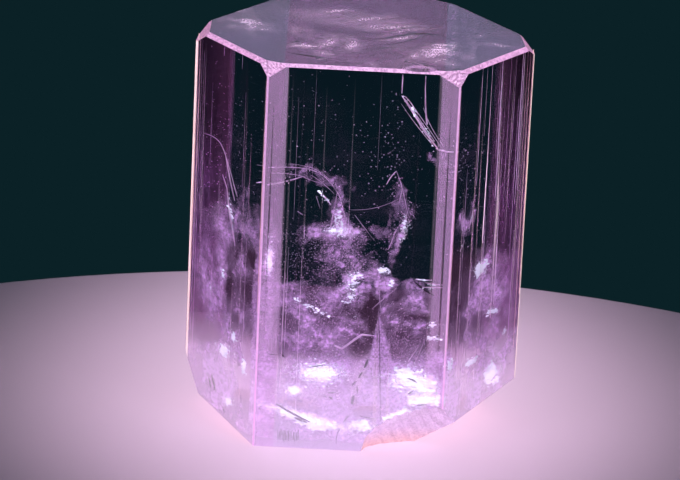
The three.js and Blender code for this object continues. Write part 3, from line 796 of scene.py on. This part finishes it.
# dark cracks, and the painted shade in the top face's grooves, in the same way
cracksAndGrooveShade = {
    "front": [
        # a long one, in dashes
        (1.6, [(2.3, 14), (2.1, 13.1), (1.8, 12.6)], (0.12, 0.26, 0.1)),
        (1.6, [(1.6, 12), (1.1, 11)], (0.1, 0.2, 0.08)),
        (1.6, [(0.8, 10.6), (0.3, 9.8)], (0.1, 0.16, 0.08)),
        (1.6, [(0.6, 8.4), (0.4, 7)], (0.16, 0.32, 0.14)),
        (1.6, [(1, 9.8), (1.1, 8.6)], (0.06, 0.1, 0.05)),
        (1.6, [(0.2, 5.6), (-0.6, 4.2)], (0.08, 0.12, 0.06)),
        (1.6, [(-0.9, 3.4), (-1.6, 2.2), (-1.4, 0.9)], (0.07, 0.1, 0.06)),
        # above the shell break
        (1, [(4.6, 3.2), (6.4, 4.8), (8, 5.4)], (0.06, 0.14, 0.1)),
        (1, [(8, 5.5), (9.4, 6.2), (10.8, 6.4)], (0.1, 0.2, 0.08)),
        (1.6, [(-9.8, 6.6), (-8, 5.4), (-5, 4)], (0.1, 0.24, 0.14)),
        (1.6, [(-7.2, 4.6), (-5.4, 3.9)], (0.14, 0.28, 0.1)),
        (1.6, [(-2.9, 8.6), (-1.8, 8.7)], (0.06, 0.14, 0.06)),
        (1.6, [(-2.7, 8), (-2.1, 7.7)], (0.1, 0.22, 0.08)),
        (1.6, [(-3.4, 8.2), (-3, 7.9)], (0.06, 0.12, 0.06)),
        (1.6, [(7.6, 11.4), (8.4, 11.3), (9, 10.8)], (0.06, 0.18, 0.06)),
        (1.6, [(7.8, 9), (8.6, 9.6)], (0.08, 0.18, 0.06)),
        (1.6, [(9.1, 7.4), (10.4, 7.6)], (0.06, 0.14, 0.05)),
        (1.6, [(1.4, 5.3), (3.6, 5)], (0.04, 0.07, 0.04)),
        (1.6, [(-5.6, 12.2), (-4, 12.8), (-2.4, 12.8)], (0.04, 0.09, 0.04)),
        (1.6, [(-11.2, 14), (-9.8, 13.9)], (0.05, 0.12, 0.05)),
        (1.6, [(-9.4, 14.2), (-8.8, 13.6)], (0.08, 0.18, 0.06)),
        (1.6, [(-12, 5.8), (-11.7, 5.6)], (0.08, 0.16, 0.08)),
        (3, [(7.8, 26), (9.3, 24.6), (10.6, 24)], (0.12, 0.14, 0.2)),
        # middle line of the pale tent
        (2.4, [(3.5, 20), (4, 12), (4.4, 4.6)], (0.05, 0.08, 0.05)),
    ],
    "left": [
        (1.2, [(8.6, 7.4), (7.7, 5)], (0.1, 0.26, 0.12)), (1.2, [(9.2, 6.8), (8.6, 5.2)], (0.1, 0.2, 0.1)),
        (1.2, [(6.2, 3.4), (5.8, 2.6)], (0.08, 0.16, 0.08)),
    ],
    "top": [
        # its grooves, drawn as dark lines: painted shade
        (0.15, [(1.4, -2.6), (4.4, -0.8), (7.4, 0.4), (10.2, -0.1)], (0.08, 0.24, 0.06)),
        (0.15, [(3.4, -3.6), (5.4, -2.4), (7.4, -0.6)], (0.06, 0.22, 0.06)),
        (0.15, [(1.2, 0.5), (4, 1), (7.2, 2.2)], (0.04, 0.12, 0.05)),
        (0.15, [(0.8, -5.6), (1.6, -5.2), (3.6, -4.6)], (0.06, 0.22, 0.05)),
        (0.15, [(-10.3, -7.6), (-8, -8.6), (-5, -8.9)], (0.08, 0.26, 0.08)),
        (0.15, [(-10.2, -4.6), (-8.6, -4.2)], (0.06, 0.2, 0.05)),
        (0.15, [(7.6, -9.6), (8.4, -9.9)], (0.1, 0.3, 0.1)),
        (0.15, [(5, -8.6), (5.6, -8.7)], (0.1, 0.26, 0.1)),
    ],
}
# a comb of fine upright etch lines above the base, at the left of the front face
etchComb = {
    "from": -9.3,
    "step": 0.21,
    "count": 14,
    "depth": 0.5,
    "low": 0.8,
    "lowUneven": 0.4,
    "high": 2.9,
    "highUneven": -0.5,
    "width": 0.07,
}
for i in range(etchComb["count"]):
    across = etchComb["from"] + i * etchComb["step"]
    low = etchComb["low"] + etchComb["lowUneven"] * abs(math.sin(i * 2.3))
    high = etchComb["high"] + etchComb["highUneven"] * abs(math.sin(i * 1.7))
    thick = etchComb["width"] * (0.6 + 0.8 * abs(math.sin(i * 1.1)))
    cracksAndGrooveShade["front"].append((etchComb["depth"], [(across, low), (across, high)], [thick] * 3))

# painted highlights along the upright edges: light lines just under the faces, where the edges catch the
# light. u, from v, to v, width
edgeHighlightLines = {
    "left": [
        (13.45, 12, 56, 0.3), (13, 30, 55.8, 0.12), (0.25, 20, 54, 0.2),
    ],
    "right": [
        (13.5, 20, 56, 0.34), (13, 12, 55.6, 0.14), (12.5, 30, 56, 0.10), (0.25, 16, 54, 0.14),
    ],
}


def addFlakes(name, kind, places, faces, turn, sizes, heights, thickness, rng):
    # flat flakes that nearly face the way in which they mirror the softbox
    look = flakeLook
    places = np.concatenate(places)
    normal = np.array([windows[face]["flash"] for face in faces])
    normal += look["scatter"] * rng.normal(size=(len(faces), 3))
    normal /= np.linalg.norm(normal, axis=1)[:, None]
    side = np.array([windows[face]["along"] for face in faces]) + turn * rng.normal(size=(len(faces), 3))
    side -= np.sum(side * normal, axis=1)[:, None] * normal
    side /= np.linalg.norm(side, axis=1)[:, None]
    keep = insideCrystal(places)
    smallest, largest = sizes
    size = smallest + (largest - smallest) * rng.uniform(size=(keep.sum(), 1)) ** look["fewLarge"]
    shape = np.concatenate([size, size * rng.uniform(*heights, size.shape), size * thickness], 1)
    turns = np.stack([side, np.cross(normal, side), normal], 2)
    scatter(name, kind, places[keep], shape, turns[keep], flash)


def flashFlakes():
    look = flakeLook
    rng = np.random.default_rng(11)
    places, faces = [], []
    for face, rows in flashes.items():
        before = veilSheets[face][4] - look["before"]
        for (u0, v0), (u1, v1), width, count in rows:
            share = rng.uniform(size=count)
            depth = before + look["spread"] * rng.normal(size=count)
            off = width / 2 * rng.normal(size=count) / math.hypot(u1 - u0, v1 - v0)
            places.append(behind(face, u0 + share * (u1 - u0) - off * (v1 - v0),
                                 v0 + share * (v1 - v0) + off * (u1 - u0), depth))
            faces += [face] * count
    addFlakes("inclusion_flashes", "flake", places, faces, look["turn"], look["size"], look["height"],
              look["thickness"], rng)
    places, faces = [], []
    for face, rows in glows.items():
        before = veilSheets[face][4] - look["before"]
        for (u, v), (ru, rv), tilt, count in rows:
            reach = [[look["glowReach"] * ru], [look["glowReach"] * rv], [look["spread"]]]
            a, b, c = rng.normal(size=(3, count)) * reach
            t = math.radians(tilt)
            places.append(behind(face, u + a * math.cos(t) - b * math.sin(t),
                                 v + a * math.sin(t) + b * math.cos(t), before + c))
            faces += [face] * count
    addFlakes("inclusion_glows", "grain", places, faces, look["glowTurn"], look["glowSize"],
              look["glowHeight"], look["glowThickness"], rng)


# depth and corners (u, v) of the fracture faces that flash
plates = {
    "front": [
        (2.4, [(-5.8, 11.6), (-3, 11.8), (-1.8, 11.2), (-4.2, 10.6)]),
        (2.4, [(-8.2, 9.3), (-7.2, 9.2), (-6.6, 8.3), (-7.6, 8.2)]),
        (2.4, [(5.5, 12.8), (8, 13), (9, 11.5), (11.4, 11.4), (12, 9), (9.5, 9), (7, 10.5)]),
        (2.4, [(8, 8.6), (12.1, 8.6), (12.1, 7.3), (9.4, 7.6)]),
        (2, [(4.6, 5.4), (7.6, 7), (8.6, 6.6), (6.4, 4.9), (4.8, 4.2)]),
        (2, [(-9.4, 6.2), (-7, 5.4), (-4.2, 3.6), (-1.2, 4), (-1.6, 3), (-4.6, 2.6), (-8, 4.4)]),
        (2, [(0.4, 4.6), (2.4, 4.8), (3.4, 3.4), (1.4, 2.6)]),
    ],
    "left": [
        (0.8, [(7.2, 12.6), (5.6, 12.6), (5.6, 11), (7, 10.8)]),
        (0.8, [(2.7, 12.2), (2.1, 12), (2.2, 9.8), (2.8, 9.8)]),
        (0.8, [(4.9, 15.4), (4.2, 15.2), (4.4, 13.8), (5, 14)]),
        (0.8, [(5.6, 5), (4.4, 5), (4.6, 4), (5.8, 4)]),
    ],
    "right": [
        (0.8, [(4.6, 26.4), (5.4, 27.6), (6, 26.8), (7.2, 27.2), (6.4, 25.6), (5.2, 24.8)]),
        (0.8, [(7.6, 19.4), (9.8, 19), (9.4, 18.5), (7.6, 18.8)]),
        (0.8, [(4, 12.8), (6.2, 13), (6, 12), (4.2, 11.8)]),
        (0.8, [(7.4, 9.6), (9, 11.4), (10.6, 9), (9.4, 7.2), (8, 8)]),
        (0.8, [(0.5, 14.2), (1.5, 13.6), (1.3, 12.4), (0.6, 12.8)]),
        (0.8, [(10.8, 15.4), (11.4, 16), (11.2, 14.4)]),
    ],
}
# slivers of such faces: depth, from (u, v), to (u, v), width
glints = {
    "front": [
        (2, (-0.4, 26.1), (1.5, 26.6), 0.6), (2, (-0.9, 25), (1, 25.3), 0.5),
        (2, (-0.6, 24.2), (0.6, 24.3), 0.3), (2, (-1.3, 23), (0.3, 23.4), 0.5),
        (2, (-1.5, 22), (-0.1, 22.5), 0.45), (2, (3.3, 27.4), (4.4, 27.7), 0.5),
        (2, (4.7, 26.3), (5.2, 25.2), 0.3), (2, (-0.1, 20.1), (0.7, 20.4), 0.3),
        (2, (-7.2, 21.6), (-6, 21.5), 0.3), (2, (-5.4, 21), (-3.8, 20.3), 0.3),
        (2, (9.9, 19), (11, 20.1), 0.45), (2, (10.9, 17.8), (12.1, 18.3), 0.3),
        (2.2, (7.6, 26.3), (10.4, 26.1), 0.4), (2.2, (9, 25.5), (11.4, 25.5), 0.35),
        (2.2, (8.8, 24.9), (11.7, 25), 0.25), (2, (-3.1, 35.8), (-2.7, 33.2), 0.35),
        (2, (-2.2, 35), (-1.9, 32.8), 0.4), (2, (-4.2, 32.7), (-1.4, 32.9), 0.5),
        (2, (-4.7, 38.1), (-3.6, 36.7), 0.25), (2, (6.5, 35.2), (6, 32.8), 0.3),
        (2, (5.4, 53), (7.3, 50.2), 0.22), (2, (7.2, 50), (9.6, 46.4), 0.28),
        (2, (9.9, 45.5), (12.1, 45.1), 0.22), (2, (-5.8, 12.4), (-2.6, 12.8), 0.3),
        (2, (-6, 11.4), (-2.6, 11.9), 0.3),
    ],
    "left": [
        (0.8, (6.8, 36.5), (6, 33), 0.25), (0.8, (5.9, 32.6), (5.4, 29.6), 0.25),
        (0.8, (7.4, 23.8), (7, 21.4), 0.25), (0.8, (9.8, 21), (9.2, 19.4), 0.2),
    ],
    "right": [
        (0.8, (3.9, 35.8), (3.3, 33.4), 0.35), (0.8, (4.8, 25.4), (6.9, 26.9), 0.7),
        (0.8, (7.5, 19), (9.7, 18.8), 0.35), (0.8, (2.6, 31.8), (1.8, 30), 0.2),
    ],
}
plateLook = {
    "step": 0.09,               # mm
    "thickness": 0.02,
    "sliverRagged": 0.3,        # the same as a share of a narrow one's width
    "ragged": 0.4,              # mm that the outline wanders
    "raggedFine": 1.4,          # its bends per mm
    "ripple": 0.075,            # mm, height of the ripples on a fracture face
    "rippleSize": 1.1,          # mm
    "noise": (0.6, 2.0, 3),     # roughness, step between and number of its layers
}


def fracturePlates():
    look = plateLook
    mesh = bmesh.new()
    shapes = [(face, *row) for face, rows in plates.items() for row in rows]
    for face, rows in glints.items():
        for depth, start, end, width in rows:
            middle, half = np.add(start, end) / 2, np.subtract(end, start) / 2
            across = width / 2 * np.array((-half[1], half[0])) / math.hypot(*half)
            shapes.append((face, depth, [start, tuple(middle - across), end, tuple(middle + across)]))
    for face, depth, corners in shapes:
        window = windows[face]
        ragged = min(look["ragged"], look["sliverRagged"] * np.min(np.ptp(corners, axis=0)))
        low, high = np.min(corners, axis=0) - ragged, np.max(corners, axis=0) + ragged
        wide, tall = (max(2, round(length / look["step"])) for length in high - low)
        made = bmesh.ops.create_grid(mesh, x_segments=wide, y_segments=tall, size=0.5)["verts"]
        u, v = (low + (np.array([v.co[:2] for v in made]) + 0.5) * (high - low)).T
        middle = np.mean(corners, axis=0)
        along, up, sight = (window["flash"].dot(window[name]) for name in ("along", "up", "sight"))
        tilt = -((u - middle[0]) * along + (v - middle[1]) * up) / sight
        wave = [noise.fractal(Vector((a, b * 2, depth)) / look["rippleSize"], *look["noise"])
                for a, b in zip(u, v)]
        rough = [noise.fractal(Vector((a, b * 2, 5)) * look["raggedFine"], *look["noise"])
                 for a, b in zip(u, v)]
        inside = edgeDistance(u, v, corners) + ragged * np.array(rough)
        places = behind(face, u, v, depth + tilt + look["ripple"] * np.array(wave))
        inside = np.where(insideCrystal(places), inside, -1)
        for vert, place in zip(made, places):
            vert.co = Vector(place) * mm
        outside = {vert for vert, distance in zip(made, inside) if distance < 0}
        cut = {f for vert in outside for f in vert.link_faces}
        bmesh.ops.delete(mesh, geom=list(cut), context="FACES")
    loose = [vert for vert in mesh.verts if not vert.link_faces]
    bmesh.ops.delete(mesh, geom=loose, context="VERTS")
    bmesh.ops.solidify(mesh, geom=mesh.faces[:], thickness=look["thickness"] * mm)
    bmesh.ops.recalc_face_normals(mesh, faces=mesh.faces[:])
    data = meshData("fracture_plates", mesh)
    print("fracture plates", len(data.polygons), "faces")
    addPiece("fracture_plates", data, flash)


tubeLook = {
    "fuller": 1.5,              # a curve only half reaches its middle width, so that is widened
    "crackFuller": 2.4,
    "lineDepth": 0.15,          # mm under the face
    "lineEnds": (0.4, 0.3),     # shares of a line's width at its ends
}


def tubes(name, rows, material, fuller=tubeLook["fuller"]):
    curve = bpy.data.curves.new(name, "CURVE")
    curve.dimensions = "3D"
    curve.bevel_depth = 0.5 * mm
    curve.bevel_resolution = 1
    curve.resolution_u = 5
    curve.use_fill_caps = True
    for face, depth, path, widths in [(face, *row) for face in rows for row in rows[face]]:
        if len(path) == 2:
            path = [path[0], tuple(np.mean(path, axis=0)), path[1]]
        spline = curve.splines.new("NURBS")
        spline.points.add(len(path) - 1)
        for i, (u, v) in enumerate(path):
            share = i / (len(path) - 1)
            width = np.interp(share, (0, 0.5, 1), (widths[0], fuller * widths[1], widths[2]))
            spline.points[i].co = (*(behind(face, u, v, depth) * mm), 1)
            spline.points[i].radius = width
        spline.order_u = 3
        spline.use_endpoint_u = True
    holder = addObject(name, curve)
    bpy.context.view_layer.update()
    data = bpy.data.meshes.new_from_object(holder.evaluated_get(bpy.context.evaluated_depsgraph_get()))
    bpy.data.objects.remove(holder)
    addPiece(name, data, material)


def uprightLines(rows):
    # rows of u, from v, to v and width as rows for the tubes
    first, last = tubeLook["lineEnds"]
    return {face: [(tubeLook["lineDepth"], [(u, low), (u, high)], (first * width, width, last * width))
                   for u, low, high, width in lines] for face, lines in rows.items()}


def cutFaces(mesh, chosen, at, normal):
    # cuts the chosen faces along a plane, at in mm
    faces = [f for f in mesh.faces if chosen(f)]
    edges = {e for f in faces for e in f.edges}
    verts = {v for f in faces for v in f.verts}
    bmesh.ops.bisect_plane(mesh, geom=faces + list(edges) + list(verts), dist=0.0001 * mm,
                           plane_co=[at * mm * part for part in normal], plane_no=normal)


def crystalBody():
    shape = bodyShape
    mesh = bmesh.new()
    mesh.from_mesh(frame["nodes"]["kunzite_crystal"].data)
    bmesh.ops.remove_doubles(mesh, verts=mesh.verts, dist=0.001 * mm)
    # the front face's bands are cut apart, and so are the ends of the top face that carry the painted
    # reflection
    for side in (-1, 1):
        cutFaces(mesh, lambda f: f.normal.y < -shape["square"], side * shape["bandInner"], (1, 0, 0))
        cutFaces(mesh, lambda f: f.normal.z > shape["level"], side * shape["sideInner"], (1, 0, 0))
    # the top face is cut small enough to carry its smears and painted highlight streaks
    for normal, reach in (((1, 0, 0), 22), ((0, 1, 0), 11)):
        for at in np.arange(-reach, reach, crystalLook["topCell"]):
            cutFaces(mesh, lambda f: f.normal.z > shape["nearlyLevel"], at, normal)
    frost, striae, grain = (mesh.faces.layers.float.new(name) for name in ("frost", "striae", "grain"))
    smearAndHighlight = mesh.loops.layers.float.new("smearAndHighlight")
    tone = mesh.loops.layers.float_color.new("tone")
    for face in mesh.faces:
        kind = kindOf(face)
        face[frost], face[striae], face[grain], colour = faceKinds[kind]
        face.smooth = False
        colour = Vector(hexColour(colour))
        for loop in face.loops:
            loop[tone] = colour
            if kind == "break":
                share = min(1.0, loop.vert.co.z / (crystalLook["breakHigh"] * mm))
                loop[tone] = Vector(hexColour(crystalLook["breakLow"])).lerp(colour, share)
    top = [loop for face in mesh.faces if face.normal.z > shape["nearlyLevel"] for loop in face.loops]
    u, v = (np.array([loop.vert.co[axis] / mm for loop in top]) for axis in (0, 1))
    for loop, amount in zip(top, cloudCover("top", u, v, 1.0)):
        loop[smearAndHighlight] = amount * crystalLook["smearAndHighlightStrength"]
    tree = BVHTree.FromBMesh(mesh)
    body = addPiece("kunzite_body", meshData("kunzite_body", mesh), growthFace())
    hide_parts("kunzite_crystal")
    return tree


bodyTree = crystalBody()
print("crystal made")

# gas-filled healed fractures and fluid inclusions in spodumene: silvery white with a pink cast; the same
# colour draws the painted highlight streaks under the top face
pearl = plainMaterial("inclusion_pearl", "fbeaf8", {"Roughness": 0.35, "Metallic": 0.3})
# flat gas-filled gaps in healed fractures: light is wholly reflected at them, so they flash white
flash = plainMaterial("inclusion_flash", "ecfff8", {"Roughness": 0.28, "Metallic": 1.0})
# painted highlights of the upright edges: a light colour with a warm tinge that scatters the light,
# standing for the light the edges catch
edgeHighlight = plainMaterial("painted_edge_highlight", "ffe2d6", {"Roughness": 0.5, "Metallic": 0.5})
# open hairline cracks seen edge on: they turn the light away and look dark purple; the same dark colour is
# painted shade in the grooves of the top face
dark = plainMaterial("inclusion_dark_and_groove_shade", "140a18", {"Roughness": 0.4})
veilMaterial = veilFilm()
veils()
grains()
flashFlakes()
fracturePlates()
tubes("fracture_rims_and_top_highlights", rimsAndTopHighlights, pearl)
tubes("growth_lines", uprightLines(growthLines), pearl)
tubes("painted_edge_highlights", uprightLines(edgeHighlightLines), edgeHighlight)
tubes("dark_cracks_and_groove_shade", cracksAndGrooveShade, dark, tubeLook["crackFuller"])
print("inclusions made")


stageSettings = {
    "floorRadius": 150 * mm,
    "poolPower": 5.2,
    "poolColour": "fbd8f8",
    "poolRadius": 58 * mm,
    "poolHeight": 300 * mm,
    "poolBehind": 3 * mm,
    "poolSoftness": 20 * mm,
    "floorBehind": 42 * mm,     # how far the floor reaches behind the crystal's middle
    "floorThickness": 8 * mm,
    "floorColour": "c4bfc2",
    "floorBevel": 1.2 * mm,
    "cardColour": "10151a",
    "cardHeight": 0.6,          # mm, of the cards' middles above the floor
    "cardThickness": 0.5,
    "cardBackColour": "40303f",
    "surroundLow": "0b2126",
    "surroundHigh": "4a505e",
    "surroundStrength": 1.0,
    "domeStart": 0.12,          # sine of the elevation where the overhead glow begins
    "domeFull": 0.75,
}


def paleFloor():
    look = stageSettings
    mesh = bmesh.new()
    bmesh.ops.create_cone(mesh, cap_ends=True, segments=192, radius1=look["floorRadius"],
                          radius2=look["floorRadius"], depth=look["floorThickness"])
    middle = Vector((0, look["floorBehind"] - look["floorRadius"], -look["floorThickness"] / 2 - 0.1 * mm))
    bmesh.ops.translate(mesh, verts=mesh.verts, vec=middle)
    rim = [e for e in mesh.edges if e.calc_face_angle(0) > 1]
    bmesh.ops.bevel(mesh, geom=rim, offset=look["floorBevel"], segments=3, profile=0.5, affect="EDGES",
                    material=-1)
    floor = addObject("floor", meshData("floor", mesh))
    floor.data.materials.append(plainMaterial("pale_floor", look["floorColour"], {"Roughness": 0.7}))
    return floor


def surround():
    look = stageSettings
    world = bpy.data.worlds.new("surround")
    bpy.context.scene.world = world
    world.use_nodes = True
    tree = world.node_tree
    tree.nodes.clear()
    direction = addNode(tree, "TexCoord").outputs["Generated"]
    up = addNode(tree, "SeparateXYZ", {}, {0: direction}).outputs["Z"]
    glow = addNode(tree, "MapRange", {"interpolation_type": "SMOOTHSTEP", "From Min": look["domeStart"],
                                      "From Max": look["domeFull"]}, {"Value": up})
    colour = addNode(tree, "Mix", {"data_type": "RGBA", 6: hexColour(look["surroundLow"]),
                                   7: hexColour(look["surroundHigh"])}, {"Factor": glow.outputs[0]})
    back = addNode(tree, "Background", {"Strength": look["surroundStrength"]}, {"Color": colour.outputs[2]})
    addNode(tree, "OutputWorld", {}, {"Surface": back.outputs[0]})


# place, what it faces, size in mm, power in watts, colour, whether it shows in and through the crystal
softboxes = {
    "overhead": ((0, 10, 160), (0, 0, 0), (150, 130), 0.08, "fff4fb", True),
    "front_fill": (fillPlace, (0, 0, 20), (260, 200), 9.3, "f8e0ff", True),
    "back_sheen": ((0, 400, 260), (0, 0, 56), (420, 220), 0.22, "c9d6ff", True),
    # these two only light the matt edges
    "left": ((-260, 30, 90), (0, 0, 25), (120, 160), 0.75, "ffdcd8", False),
    "right": ((260, 30, 90), (0, 0, 25), (120, 160), 0.9, "ffe8dc", False),
}


def softbox(name, position, target, size, power, colour, seen):
    light = bpy.data.lights.new(name, "AREA")
    light.shape = "RECTANGLE"
    light.size, light.size_y = size[0] * mm, size[1] * mm
    light.energy = power
    light.color = hexColour(colour)[:3]
    lamp = addObject(name, light)
    start, end = Vector(position) * mm, Vector(target) * mm
    lamp.location = start
    lamp.rotation_mode = "QUATERNION"
    lamp.rotation_quaternion = (end - start).to_track_quat("-Z", "Y")
    lamp.visible_camera = False
    lamp.visible_transmission = lamp.visible_glossy = seen
    return lamp


def poolLight():
    light = bpy.data.lights.new("pool", "SPOT")
    light.energy = stageSettings["poolPower"]
    light.color = hexColour(stageSettings["poolColour"])[:3]
    light.spot_size = 2 * math.atan(stageSettings["poolRadius"] / stageSettings["poolHeight"])
    light.spot_blend = 1.0
    light.shadow_soft_size = stageSettings["poolSoftness"]
    lamp = addObject("pool", light)
    lamp.location = (0, stageSettings["poolBehind"], stageSettings["poolHeight"])
    lamp.visible_camera = False
    return lamp


def camera():
    data = bpy.data.cameras.new("camera")
    data.sensor_width = cameraPlace["sensor"]
    data.lens = cameraPlace["lens"]
    data.clip_start, data.clip_end = cameraPlace["clip"]
    view = addObject("camera", data)
    across, upward, forward = cameraAxes()
    facing = Matrix((across, upward, -forward)).transposed()
    facing = facing @ Matrix.Rotation(math.radians(cameraPlace["roll"]), 3, "Z")
    view.matrix_world = Matrix.Translation(Vector(cameraPlace["spot"]) * mm) @ facing.to_4x4()
    bpy.context.scene.camera = view


def layCard(name, middle, size, material):
    # a thin card just above the floor that the camera doesn't see
    mesh = bmesh.new()
    bmesh.ops.create_cube(mesh, size=1)
    bmesh.ops.scale(mesh, verts=mesh.verts, vec=Vector((*size, stageSettings["cardThickness"])) * mm)
    bmesh.ops.translate(mesh, verts=mesh.verts, vec=Vector((*middle, stageSettings["cardHeight"])) * mm)
    card = addObject(name, meshData(name, mesh))
    card.data.materials.append(material)
    card.visible_camera = card.visible_diffuse = card.visible_shadow = False
    return card


def layCards():
    # dark cards beside and before the crystal, seen only in its reflections
    black = plainMaterial("black_card", stageSettings["cardColour"], {"Roughness": 0.9})
    cards = [
        layCard("card_front", (0, -107.5), (380, 165), black),
        layCard("card_left", (-120, 2.5), (140, 55), black),
        layCard("card_right", (120, 2.5), (140, 55), black),
    ]
    # and a dark mauve one behind, seen only through it
    mauve, tree = newMaterial("mauve_card")
    glow = addNode(tree, "Emission", {"Color": hexColour(stageSettings["cardBackColour"]), "Strength": 1.0})
    addNode(tree, "OutputMaterial", {}, {"Surface": glow.outputs[0]})
    cards.append(layCard("card_back", (0, 34.5), (140, 21), mauve))
    cards[-1].visible_glossy = False
    return cards


def collection(name, things):
    made = bpy.data.collections.new(name)
    for thing in things:
        made.objects.link(thing)
    return made


cards = layCards()
floor = paleFloor()
surround()
allButFloor = collection("all_but_floor", [floor] + cards)
for link in allButFloor.collection_objects:
    link.light_linking.link_state = "EXCLUDE"
for name, values in softboxes.items():
    softbox(name, *values).light_linking.receiver_collection = allButFloor
pool = poolLight()
pool.light_linking.receiver_collection = collection("floor_only", [floor])
pool.light_linking.blocker_collection = collection("no_blockers", [floor])
camera()
scene = bpy.context.scene
scene.view_settings.view_transform = "Standard"
scene.cycles.max_bounces = 24
scene.cycles.transmission_bounces = 20
scene.cycles.glossy_bounces = 12
scene.cycles.transparent_max_bounces = 24
print("stage, lights and camera ready")
